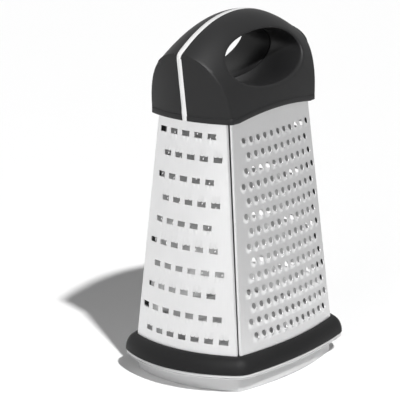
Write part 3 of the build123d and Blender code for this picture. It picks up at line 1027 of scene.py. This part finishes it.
@dataclass
class HandleCap:
    """Cap with a half-elliptic dome, two flared ends and a finger hole, in millimetres."""

    foot: float = 187.4
    half_width: float = 37.0
    end_half_width: float = 34.0
    end_reach: float = 57.0
    end_radius: float = 81.0
    end_slope: float = 0.145
    top: float = 255.6
    arch_reach: float = 50.0
    arch_drop: float = 13.1
    arch_power: float = 2.05
    crease: float = 1.3
    skirt_rise: float = 3.5
    skirt_half: float = 42.0
    band: float = 4.0
    band_proud: float = 0.2
    band_edge: tuple[float, float] = (0.1, 0.12)
    band_fold: tuple[float, float] = (0.35, 0.38)
    wall: float = 1.4
    hole_middle: float = 225.5
    hole_half: float = 43.3
    hole_half_height: float = 17.9
    rim: float = 2.4
    parting: float = 0.15
    strip_half: float = 2.0
    strip_gap: float = 0.1
    strip_depth: float = 1.5
    strip_bend: float = 3.0
    strip_proud: float = 0.45
    strip_clear: float = 1.0
    strip_lip: float = 0.35
    strip_crown: float = 0.08

    ACROSS = 56
    UP = 22
    # Depth in the hole's wall and distance from the shell's parting edge.
    GROOVE = ((0.9, 0.0), (0.9, 0.4), (0.1, 0.5), (0.0, 0.65))
    TUNNEL_ROWS = 5
    RIM_ROWS = 6
    DOME_ROWS = 10
    END_COLUMNS = 12
    STRIP_STEPS = 120
    LEG_SHARE = 0.26
    ARCH_SHARE = 0.36
    BORDER_ROUNDS = 12
    KINK_ROUNDS = 20
    JOIN_SPOT = 0.02
    CREASE_ANGLE = 16.0
    CREASE_SEGMENTS = 4
    SHARP_ANGLE = 50.0

    def arch(self, along: float) -> float:
        """Height of the arch above a place along X."""
        return self.top - self.arch_drop * (abs(along) / self.arch_reach) ** self.arch_power

    def spread(self, along: float) -> float:
        """Half width of the dome's foot at a place along X."""
        return self.half_width - (self.half_width - self.end_half_width) * (along / self.end_reach) ** 2

    def dome(self, along: float, turn: float) -> Vector:
        """Point on the front of the dome, from its foot at 0 to the arch at a quarter turn."""
        rise = self.arch(along) - self.foot
        return Vector((along, -self.spread(along) * cos(turn), self.foot + rise * sin(turn)))

    def turn_at(self, along: float, height: float) -> float:
        """Turn of the dome's point at a height."""
        share = (height - self.foot) / (self.arch(along) - self.foot)
        return asin(max(-1.0, min(1.0, share)))

    def end(self, across: float, height: float) -> float:
        """Reach of the bowed end at a place along Y and at a height."""
        reach = self.end_reach + self.end_slope * (height - self.foot)
        return reach - self.end_radius + sqrt(self.end_radius**2 - across**2)

    def skirt(self, along: float) -> float:
        """Height of the lower edge, arched over the broad sides."""
        chord, rise = self.skirt_half, self.skirt_rise
        if abs(along) >= chord:
            return self.foot
        radius = (chord**2 + rise**2) / (2 * rise)
        return self.foot + rise - radius + sqrt(radius**2 - along**2)

    def border(self, share: float) -> tuple[float, float]:
        """Outer border of the dome's front, once round from its top left.

        Args:
            share: Way round, 0 to 1.

        Returns:
            Place along X and turn.
        """
        total = 2 * (self.ACROSS + self.UP)
        step = round(share * total) % total
        if step <= self.ACROSS:
            side, up = 2 * step / self.ACROSS - 1, 1.0
        elif step <= self.ACROSS + self.UP:
            side, up = 1.0, 1 - (step - self.ACROSS) / self.UP
        elif step <= 2 * self.ACROSS + self.UP:
            side, up = 1 - 2 * (step - self.ACROSS - self.UP) / self.ACROSS, 0.0
        else:
            side, up = -1.0, (step - 2 * self.ACROSS - self.UP) / self.UP
        along, turn = side * self.end_reach, 0.5
        for _ in range(self.BORDER_ROUNDS):
            foot_turn = self.turn_at(along, self.skirt(along) + self.band)
            top_turn = acos((self.strip_half + self.strip_gap) / self.spread(along))
            turn = foot_turn + (top_turn - foot_turn) * up
            spot = self.dome(along, turn)
            along = side * self.end(spot.y, spot.z)
        return along, turn

    def rim_spot(self, along: float, height: float, gap: float) -> tuple[float, float]:
        """Where the line from the hole's middle to a point is a given gap outside the hole.

        Args:
            along: The point's place along X.
            height: The point's height.
            gap: The gap.

        Returns:
            Place along X and height.
        """
        sideways, up = along / self.hole_half, (height - self.hole_middle) / self.hole_half_height
        reach = hypot(sideways, up)
        steepness = hypot(sideways / self.hole_half, up / self.hole_half_height) / reach
        share = (1 + gap * steepness) / reach
        return along * share, self.hole_middle + (height - self.hole_middle) * share

    def front_rule(self, share: float, level: float) -> Vector:
        """Point of the front shell's skin, from the parting line in the hole out to its border.

        Args:
            share: Way round the hole.
            level: Way from the parting line, through the rim, to the border.

        Returns:
            The point.
        """
        rows = self.TUNNEL_ROWS + self.RIM_ROWS + self.DOME_ROWS
        row = round(level * rows)
        along, turn = self.border(share)
        outer = self.dome(along, turn)
        inner_x, inner_z = self.rim_spot(outer.x, outer.z, 0.0)
        edge = self.dome(inner_x, self.turn_at(inner_x, inner_z))
        skin_x, skin_z = self.rim_spot(outer.x, outer.z, self.rim)
        skin_turn = self.turn_at(skin_x, skin_z)
        skin = self.dome(skin_x, skin_turn)
        wall = edge + Vector((0.0, (skin - edge).length, 0.0))
        if row < len(self.GROOVE):
            deep, back = self.GROOVE[row]
            groove_x, groove_z = self.rim_spot(outer.x, outer.z, deep)
            return Vector((groove_x, -self.parting - back, groove_z))
        if row <= self.TUNNEL_ROWS:
            start = -self.parting - self.GROOVE[-1][1]
            part = (row - len(self.GROOVE) + 1) / (self.TUNNEL_ROWS - len(self.GROOVE) + 1)
            return Vector((wall.x, start + (wall.y - start) * part, wall.z))
        if row <= self.TUNNEL_ROWS + self.RIM_ROWS:
            part = (row - self.TUNNEL_ROWS) / self.RIM_ROWS
            return wall * (1 - part) ** 2 + edge * (2 * part * (1 - part)) + skin * part**2
        part = (row - self.TUNNEL_ROWS - self.RIM_ROWS) / self.DOME_ROWS
        return self.dome(skin_x + (along - skin_x) * part, skin_turn + (turn - skin_turn) * part)

    def end_rule(self, side: int) -> Callable[[float, float], Vector]:
        """Rule of the end face's front half.

        Args:
            side: Minus 1 for the left end, 1 for the right.

        Returns:
            The rule, from the crease to the strip and from its foot up.
        """
        total = 2 * (self.ACROSS + self.UP)

        def place(inwards: float, up: float) -> Vector:
            if side > 0:
                step = self.ACROSS + (1 - up) * self.UP
            else:
                step = 2 * self.ACROSS + (1 + up) * self.UP
            corner = self.dome(*self.border(step / total))
            across = corner.y + (-self.strip_half - self.strip_gap - corner.y) * inwards
            return Vector((side * self.end(across, corner.z), across, corner.z))

        return place

    def skirt_band(self, mesh: bmesh.types.BMesh) -> None:
        """Draw the proud band down from the lower edge, and turn its lip in.

        Args:
            mesh: The front shell's skin.
        """
        mesh.normal_update()
        limit = self.foot + self.skirt_rise + self.band + self.wall
        edges = [
            edge
            for edge in mesh.edges
            if edge.is_boundary and self.is_level(edge) and all(vert.co.z < limit for vert in edge.verts)
        ]
        outwards = {}
        for vert in {vert for edge in edges for vert in edge.verts}:
            sideways = Vector((vert.normal.x, vert.normal.y, 0.0))
            outwards[self.spot_key(vert)] = sideways.normalized()
        edge_out, edge_down = self.band_edge
        fold_in, fold_down = self.band_fold
        moves = (
            (self.band_proud, 0.0),
            (edge_out, -edge_down),
            (0.0, edge_down + fold_down - self.band),
            (-fold_in, -fold_down),
            (-self.wall, 0.0),
        )
        for out, up in moves:
            made = bmesh.ops.extrude_edge_only(mesh, edges=edges)
            verts = [part for part in made["geom"] if isinstance(part, bmesh.types.BMVert)]
            edges = [part for part in made["geom"] if isinstance(part, bmesh.types.BMEdge)]
            moved = {}
            for vert in verts:
                way = outwards[self.spot_key(vert)]
                vert.co += way * out + Vector((0.0, 0.0, up))
                moved[self.spot_key(vert)] = way
            outwards = moved

    @staticmethod
    def is_level(edge: bmesh.types.BMEdge) -> bool:
        """Whether an edge runs more sideways than upwards."""
        run = edge.verts[1].co - edge.verts[0].co
        return abs(run.z) < abs(run.x) + abs(run.y)

    @staticmethod
    def spot_key(vert: bmesh.types.BMVert) -> tuple[float, float, float]:
        """Place of a vertex, rounded so that it names the vertex."""
        return (round(vert.co.x, 3), round(vert.co.y, 3), round(vert.co.z, 3))

    def shell(self, rear: bool) -> bmesh.types.BMesh:
        """Half of the cap.

        Args:
            rear: Whether it is the half of +Y.

        Returns:
            The mesh.
        """
        mesh = bmesh.new()
        rows = self.TUNNEL_ROWS + self.RIM_ROWS + self.DOME_ROWS
        warped_grid(mesh, 2 * (self.ACROSS + self.UP), rows, self.front_rule)
        for side in (-1, 1):
            warped_grid(mesh, self.END_COLUMNS, self.UP, self.end_rule(side))
        bmesh.ops.remove_doubles(mesh, verts=mesh.verts, dist=self.JOIN_SPOT)
        bmesh.ops.recalc_face_normals(mesh, faces=mesh.faces)
        broad = [face for face in mesh.faces if face.calc_center_median().y < -self.half_width / 2]
        if sum(face.normal.y for face in broad) > 0:
            bmesh.ops.reverse_faces(mesh, faces=mesh.faces)
        creases = [
            edge
            for edge in mesh.edges
            if not edge.is_boundary
            and abs(edge.verts[0].co.x) > self.hole_half + 2 * self.rim
            and edge.calc_face_angle(0.0) > radians(self.CREASE_ANGLE)
        ]
        bmesh.ops.bevel(
            mesh,
            geom=creases,
            offset=self.crease,
            offset_type="OFFSET",
            segments=self.CREASE_SEGMENTS,
            profile=0.5,
            affect="EDGES",
            material=-1,
        )
        self.skirt_band(mesh)
        if rear:
            bmesh.ops.scale(mesh, vec=(1.0, -1.0, 1.0), verts=mesh.verts)
            bmesh.ops.reverse_faces(mesh, faces=mesh.faces)
        thicken(mesh, self.wall)
        return mesh

    def strip_line(self, share: float) -> tuple[Vector, Vector]:
        """Middle line of the trim strip over the cap.

        Args:
            share: Way from the foot of the left end to that of the right.

        Returns:
            The point and the outward direction, both in the plane of X and Z.
        """
        side = -1 if share < 0.5 else 1
        part = 1 - abs(share - 0.5) * 2
        kink = self.end_reach
        for _ in range(self.KINK_ROUNDS):
            kink = self.end(0.0, self.arch(kink))
        if part < self.LEG_SHARE:
            leg = self.arch(kink) - self.strip_bend - self.foot
            height = self.foot + leg * part / self.LEG_SHARE
            outwards = Vector((side, -self.end_slope)).normalized()
            return Vector((side * self.end(0.0, height), height)), outwards
        start = kink - self.strip_bend
        if part > self.ARCH_SHARE:
            along = side * start * (1 - part) / (1 - self.ARCH_SHARE)
            return Vector((along, self.arch(along))), self.arch_normal(along)
        turn = (part - self.LEG_SHARE) / (self.ARCH_SHARE - self.LEG_SHARE)
        low_height = self.arch(kink) - self.strip_bend
        low = Vector((side * self.end(0.0, low_height), low_height))
        high = Vector((side * start, self.arch(start)))
        corner = Vector((side * kink, self.arch(kink)))
        spot = low * (1 - turn) ** 2 + corner * (2 * turn * (1 - turn)) + high * turn**2
        run = (corner - low) * (1 - turn) + (high - corner) * turn
        return spot, Vector((run.y, -run.x)).normalized() * side

    def arch_normal(self, along: float) -> Vector:
        """Outward direction of the arch at a place along X, in the plane of X and Z."""
        slope = self.arch_drop * self.arch_power / self.arch_reach
        slope *= (abs(along) / self.arch_reach) ** (self.arch_power - 1)
        return Vector((slope if along > 0 else -slope, 1.0)).normalized()

    def strip(self) -> bmesh.types.BMesh:
        """Trim strip along the parting line."""
        mesh = bmesh.new()
        half, depth, lip = self.strip_half, self.strip_depth, self.strip_lip
        round_off = lip * 0.3
        left = ((-half, -depth), (-half, -lip), (-half + round_off, -round_off), (-half + lip, 0.0))
        right = tuple((-across, rise) for across, rise in reversed(left))
        outline = (*left, (0.0, self.strip_crown), *right, left[0])
        rows = len(outline) - 1

        def place(share: float, level: float) -> Vector:
            spot, out = self.strip_line(share)
            across, rise = outline[round(level * rows)]
            over_band = self.foot + self.skirt_rise + self.band + self.strip_clear - spot.y
            point = spot + out * (rise + self.strip_proud * min(1.0, max(0.0, over_band)))
            return Vector((point.x, across, point.y))

        warped_grid(mesh, self.STRIP_STEPS, rows, place)
        bmesh.ops.remove_doubles(mesh, verts=mesh.verts, dist=SAME_SPOT)
        bmesh.ops.holes_fill(mesh, edges=[edge for edge in mesh.edges if edge.is_boundary], sides=0)
        bmesh.ops.recalc_face_normals(mesh, faces=mesh.faces)
        return mesh

    def build(self, shell: bpy.types.Material, strip: bpy.types.Material) -> None:
        """Make the two shells and the strip.

        Args:
            shell: Finish of the shells.
            strip: Finish of the strip.
        """
        for rear, side in ((False, "front"), (True, "rear")):
            node = f"handle_{side}_shell"
            finished_piece(
                self.shell(rear), f"{node}_skin", shell, "grater", node, self.SHARP_ANGLE
            )
        finished_piece(self.strip(), "trim_strip_bead", strip, "grater", "trim_strip")


@dataclass
class BaseRing:
    """Soft grip over the base ring, in millimetres."""

    low: float = 15.1
    plan: BowedPlan = BowedPlan(52.0, 39.1, 11.7, 4.7, 15.5)
    neck_grow: float = 0.3
    neck_rounding: float = 2.0
    thickness: float = 2.5
    edge: float = 0.7
    body: BodyTaper = field(default_factory=BodyTaper)

    STEPS = 208
    SLOPE_ROWS = 12
    ROLL_STEPS = 4

    def slope(self, inset: float, share: float) -> tuple[BowedPlan, float]:
        """Plan and height on the convex slope.

        Args:
            inset: How far under the surface.
            share: From the lowest edge, 0, to the neck, 1.

        Returns:
            The plan and its height.
        """
        top = self.body.foot_height - inset
        neck = self.body.plan(top, self.neck_grow, self.neck_rounding)
        turn = share * pi / 2
        return self.plan.set_in(inset).blended(neck, 1 - cos(turn)), self.low + (top - self.low) * sin(turn)

    def build(self, material: bpy.types.Material) -> bpy.types.Object:
        """Make the grip.

        Args:
            material: Its finish.

        Returns:
            The piece.
        """
        outer = [self.slope(0.0, row / self.SLOPE_ROWS) for row in range(self.SLOPE_ROWS + 1)]
        inner = [self.slope(self.thickness, row / self.SLOPE_ROWS) for row in range(self.SLOPE_ROWS, -1, -1)]
        rolled = []
        for step in range(self.ROLL_STEPS, 0, -1):
            turn = step / self.ROLL_STEPS * pi / 2
            plan = self.plan.set_in(self.edge * (1 - cos(turn)))
            rolled.append((plan, self.low + self.edge * (1 - sin(turn))))
        lifted = [(plan, height) for plan, height in outer if height > self.low + self.edge]
        mesh = bmesh.new()
        swept_plans(mesh, rolled + lifted + inner, self.STEPS, True)
        return finished_piece(mesh, "base_grip_skin", material, "grater", "base_grip")


@dataclass
class CatchTray:
    """Tray with a turned-down rim and a locating rib, in millimetres."""

    plan: BowedPlan = BowedPlan(52.2, 40.8, 9.8, 6.8, 4.6)
    flare: float = 0.6
    wall: float = 1.8
    foot_radius: float = 1.2
    rim_plan: BowedPlan = BowedPlan(52.0, 39.1, 11.7, 4.7, 15.5)
    rim_low: float = 12.1
    rim_top: float = 15.1
    rim_setback: float = 0.8
    rim_radius: float = 0.5
    groove_rise: float = 0.6
    groove_depth: float = 0.9
    rib_inset: float = 4.3
    rib: float = 1.3
    rib_height: float = 2.7
    bevel: float = 0.3
    corner: float = 0.4
    mouth_drop: float = 0.5
    groove_height: float = 0.5
    groove_slant: float = 0.05
    under_flat: float = 2.0
    floor_flat: float = 1.0

    STEPS = 208
    ROUND_STEPS = 4

    def basin(self, inset: float, height: float) -> tuple[BowedPlan, float]:
        """Plan of the basin's wall at a height, set in."""
        share = self.flare * height / self.rim_top
        return self.plan.set_in(inset - share), height

    def rounded(
        self, radius: float, start: float, rule: Callable[[float, float], tuple[BowedPlan, float]]
    ) -> list[tuple[BowedPlan, float]]:
        """Quarter of a round edge as stations.

        Args:
            radius: Radius of the edge.
            start: Turn at which it starts, in quarters.
            rule: Rule from inset and rise, both from the edge's middle, to a station.

        Returns:
            The stations.
        """
        turns = [(start + step / self.ROUND_STEPS) * pi / 2 for step in range(self.ROUND_STEPS + 1)]
        return [rule(-radius * cos(turn), radius * sin(turn)) for turn in turns]

    def build(self, material: bpy.types.Material) -> bpy.types.Object:
        """Make the tray.

        Args:
            material: Its finish.

        Returns:
            The piece.
        """
        foot, wall, lip, bevel = self.foot_radius, self.wall, self.rim_radius, self.bevel
        under = self.rim_top - wall
        rim = self.rim_plan.set_in(self.rim_setback)
        behind = rim.set_in(wall)
        groove, groove_top = self.rim_low + self.groove_rise, self.groove_height + self.groove_slant
        sunk = rim.set_in(self.groove_depth)
        rib_out = self.rim_plan.set_in(self.rib_inset)
        rib_in = rib_out.set_in(self.rib)
        rib_top = self.rim_top + self.rib_height
        stations = [
            self.basin(foot + self.under_flat, 0.0),
            *self.rounded(foot, -1, lambda inset, rise: self.basin(foot + inset, foot + rise)),
            self.basin(0.0, under - self.corner),
            self.basin(-self.corner, under),
            (behind.set_in(bevel), under),
            (behind, under - bevel),
            (behind, self.rim_low),
            (rim.set_in(bevel), self.rim_low),
            (rim, self.rim_low + bevel),
            (rim, groove),
            (sunk, groove + self.groove_slant),
            (sunk, groove + self.groove_height),
            (rim, groove + groove_top),
            *self.rounded(lip, 0, lambda inset, rise: (rim.set_in(lip + inset), self.rim_top - lip + rise)),
            (rib_out.set_in(-bevel), self.rim_top),
            (rib_out, self.rim_top + bevel),
            (rib_out, rib_top - bevel),
            (rib_out.set_in(bevel), rib_top),
            (rib_in.set_in(-bevel), rib_top),
            (rib_in, rib_top - bevel),
            (rib_in, self.rim_top),
            self.basin(wall - self.corner, self.rim_top),
            self.basin(wall, self.rim_top - self.mouth_drop),
            self.basin(wall, wall + foot),
            self.basin(wall + foot * 0.3, wall + foot * 0.3),
            self.basin(wall + foot, wall),
            self.basin(wall + foot + self.floor_flat, wall),
        ]
        mesh = bmesh.new()
        swept_plans(mesh, stations, self.STEPS, False)
        bmesh.ops.holes_fill(mesh, edges=[edge for edge in mesh.edges if edge.is_boundary], sides=0)
        bmesh.ops.recalc_face_normals(mesh, faces=mesh.faces)
        return finished_piece(mesh, "tray_basin", material, "tray", "tray")


@dataclass
class Grater:
    """The whole grater: its sheets, cap, base and tray."""

    coarse: CoarseSheet = field(
        default_factory=lambda: CoarseSheet(
            "coarse_panel", Facing.LEFT, 177.8, 15.8, 10, 10.48, 8.5, shift=1.9, alternate=True
        )
    )
    medium: MediumSheet = field(
        default_factory=lambda: MediumSheet(
            "medium_panel", Facing.FRONT, 173.8, 10.44, 14, 7.53, 8.5, shift=-1.7, middle=-1.7
        )
    )
    fine: FineSheet = field(
        default_factory=lambda: FineSheet("fine_panel", Facing.BACK, 174.4, 6.9, 21, 6.2, 8.0)
    )
    slicer: SlicerSheet = field(
        default_factory=lambda: SlicerSheet(
            "slicer_panel", Facing.RIGHT, 166.4, 37.0, 4, 124.0, 11.0, staggered=False
        )
    )
    cap: HandleCap = field(default_factory=HandleCap)
    ring: BaseRing = field(default_factory=BaseRing)
    tray: CatchTray = field(default_factory=CatchTray)

    def build(self) -> None:
        """Make every new piece and dress the solids that stay."""
        steel = BrushedSteel("sheet_steel").material()
        fastener = BrushedSteel(
            "fastener_steel", (0.62, 0.62, 0.63), (0.5, 0.5, 0.52), 0.3, 1600.0
        ).material()
        handle = MouldedPlastic(
            "handle_plastic", (0.006, 0.006, 0.0064), (0.009, 0.009, 0.0094), 0.5, specular=0.32
        ).material()
        grip = MouldedPlastic(
            "soft_grip", (0.004, 0.004, 0.0043), (0.007, 0.007, 0.0073), 0.58, 1800.0, 0.00008, specular=0.22
        ).material()
        inner = MouldedPlastic("frame_plastic", (0.33, 0.33, 0.33), (0.38, 0.38, 0.38), 0.5).material()
        tray = MouldedPlastic(
            "tray_plastic", (0.5, 0.5, 0.505), (0.54, 0.54, 0.54), 0.38, 1500.0, 0.00003, 0.9
        ).material()
        trim = MouldedPlastic("trim_plastic", (0.62, 0.62, 0.62), (0.67, 0.67, 0.67), 0.3).material()
        for sheet in (self.coarse, self.medium, self.fine, self.slicer):
            sheet.build(steel)
        self.cap.build(handle, trim)
        self.ring.build(grip)
        self.tray.build(tray)
        for name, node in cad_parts.items():
            if name.startswith(("seam_rivets", "crown_screws", "locating_pins")):
                self.dress(node, fastener)
            elif name in ("base_frame", "panel_retainer", "crown_plate"):
                self.dress(node, inner)

    def dress(self, node: bpy.types.Object, material: bpy.types.Material) -> None:
        """Give a solid that stays its finish."""
        node.data.materials.clear()
        node.data.materials.append(material)
        LOG.info("%s: dressed in %s", node.name, material.name)


@dataclass
class Studio:
    """White floor with painted shade on one side, even sky, sun, soft lamps and the camera."""

    azimuth: float = radians(-52.989)
    elevation: float = radians(15.164)
    roll: float = radians(-0.396)
    distance: float = 1.711316
    offset: float = -0.024453
    target_height: float = 0.11877
    lens: float = 217.545
    floor_size: float = 12.0
    floor_lift: float = 0.02
    surround: float = 0.2
    dim_sky: float = 0.5
    # Colour of the floor's painted shade on its dim side.
    painted_floor_shade: float = 0.6
    dim_start: float = 0.18
    dim_run: float = 0.12
    dim_side: tuple[float, float, float] = (0.522, -0.859, 0.0)
    bright_side: tuple[float, float, float] = (-0.785, 0.62, 0.0)
    sun_from: tuple[float, float, float] = (-0.42, -0.759, 1.0)
    sun_power: float = 3.85
    sun_angle: float = radians(2.5)
    fill_from: tuple[float, float, float] = (-1.35, -0.3, 0.2)
    fill_size: float = 0.8
    fill_power: float = 9.0
    glow_from: tuple[float, float, float] = (0.0, 0.0, 0.005)
    glow_size: float = 0.07
    glow_power: float = 0.03
    lamp_aim: tuple[float, float, float] = (0.0, 0.0, 0.1)

    SENSOR = 36.0
    SIGHT = 50.0

    def camera(self) -> None:
        """Place the camera at the photograph's viewing angle."""
        back = Vector((
            sin(self.azimuth) * cos(self.elevation),
            -cos(self.azimuth) * cos(self.elevation),
            sin(self.elevation),
        ))
        level = (-back).cross(Vector((0, 0, 1))).normalized()
        raised = level.cross(-back)
        right = level * cos(self.roll) + raised * sin(self.roll)
        up = raised * cos(self.roll) - level * sin(self.roll)
        spot = right * self.offset + Vector((0, 0, self.target_height)) + back * self.distance
        data = bpy.data.cameras.new("camera")
        data.lens = self.lens
        data.sensor_width = self.SENSOR
        data.clip_end = self.SIGHT
        camera = bpy.data.objects.new("camera", data)
        turned = Matrix((right, up, back)).transposed().to_4x4()
        camera.matrix_world = Matrix.Translation(spot) @ turned
        bpy.context.scene.collection.objects.link(camera)
        bpy.context.scene.camera = camera

    def lamp(self, name: str, spot: tuple[float, float, float], size: float, power: float) -> None:
        """Add a square soft lamp that points at the grater and shows in no reflection.

        Args:
            name: Name of the lamp.
            spot: Its place, in metres.
            size: Its side, in metres.
            power: Its power, in watts.
        """
        data = bpy.data.lights.new(name, "AREA")
        data.size = size
        data.energy = power
        lamp = bpy.data.objects.new(name, data)
        lamp.visible_glossy = False
        lamp.location = spot
        aim = Vector(self.lamp_aim) - Vector(spot)
        lamp.rotation_euler = aim.to_track_quat("-Z", "Y").to_euler()
        bpy.context.scene.collection.objects.link(lamp)

    def sun(self) -> None:
        """Add the key light, whose rays are parallel as those of a far lamp."""
        data = bpy.data.lights.new("key_light", "SUN")
        data.energy = self.sun_power
        data.angle = self.sun_angle
        sun = bpy.data.objects.new("key_light", data)
        sun.rotation_euler = Vector(self.sun_from).to_track_quat("Z", "Y").to_euler()
        bpy.context.scene.collection.objects.link(sun)

    def floor(self) -> None:
        """Lay the pale floor, its colour darkened towards the right front as painted shade for the steel to
        mirror.
        """
        mesh = bmesh.new()
        bmesh.ops.create_grid(mesh, x_segments=8, y_segments=8, size=self.floor_size / 2)
        data = bpy.data.meshes.new("floor")
        mesh.to_mesh(data)
        mesh.free()
        floor = bpy.data.objects.new("floor", data)
        bpy.context.scene.collection.objects.link(floor)
        bench = Bench("floor_paper")
        rays = bench.node("ShaderNodeLightPath")
        seen = bench.value(rays, "Is Camera Ray") + bench.value(rays, "Is Glossy Ray")
        seen = (seen + bench.value(rays, "Is Transmission Ray")).at_most(1.0)
        paper = bench.mixed(bench.noise(400.0), (0.88, 0.88, 0.88), (0.9, 0.9, 0.9))
        # Painted shade: the floor's colour darkens on the dim side, so that the broad sheet mirrors a darker
        # floor there.
        dimmed = (bench.towards(self.dim_side, bench.place) - self.dim_start) / self.dim_run
        dimmed = dimmed.at_least(0.0).at_most(1.0)
        data.materials.append(
            bench.finish(
                Base_Color=bench.mixed(dimmed, paper, (self.painted_floor_shade,) * 3),
                Roughness=0.9,
                Emission_Color=bench.mixed(seen, (0.0, 0.0, 0.0), (1.0, 1.0, 1.0)),
                Emission_Strength=self.floor_lift,
            )
        )

    def world(self) -> None:
        """Surround the scene with an even light that shows as white."""
        world = bpy.data.worlds.new("studio")
        bpy.context.scene.world = world
        bench = Bench("studio_sky", world)
        rays = bench.node("ShaderNodeLightPath")
        way = bench.value(bench.node("ShaderNodeTexCoord"), "Generated")
        share = ((bench.towards(self.bright_side, way) + 1.0) * 0.5).at_least(0.0).at_most(1.0)
        shown = bench.value(rays, "Is Camera Ray") + bench.value(rays, "Is Transmission Ray")
        shown = shown.at_most(1.0)
        sky = bench.mixed(share, (self.dim_sky,) * 3, (1.0, 1.0, 1.0))
        mirrored = bench.value(rays, "Is Glossy Ray")
        strength = self.surround + mirrored * (1 - self.surround)
        lit = bench.node("ShaderNodeBackground", {}, {"Color": sky, "Strength": strength})
        seen = bench.node("ShaderNodeBackground", {}, {"Color": (1.0, 1.0, 1.0, 1.0), "Strength": 1.0})
        mix = bench.node("ShaderNodeMixShader", {}, {0: shown, 1: bench.value(lit), 2: bench.value(seen)})
        bench.connect(bench.surface, "Surface", bench.value(mix))

    def build(self) -> None:
        """Set up the stage."""
        self.floor()
        self.world()
        self.sun()
        self.lamp("fill_lamp", self.fill_from, self.fill_size, self.fill_power)
        self.lamp("glow_inside", self.glow_from, self.glow_size, self.glow_power)
        self.camera()
        bpy.context.scene.view_settings.view_transform = "Standard"


def main() -> None:
    """Build the grater and its stage."""
    logging.basicConfig(level=logging.INFO, format="%(name)s: %(message)s")
    Grater().build()
    Studio().build()


if __name__ == "__main__":
    main()
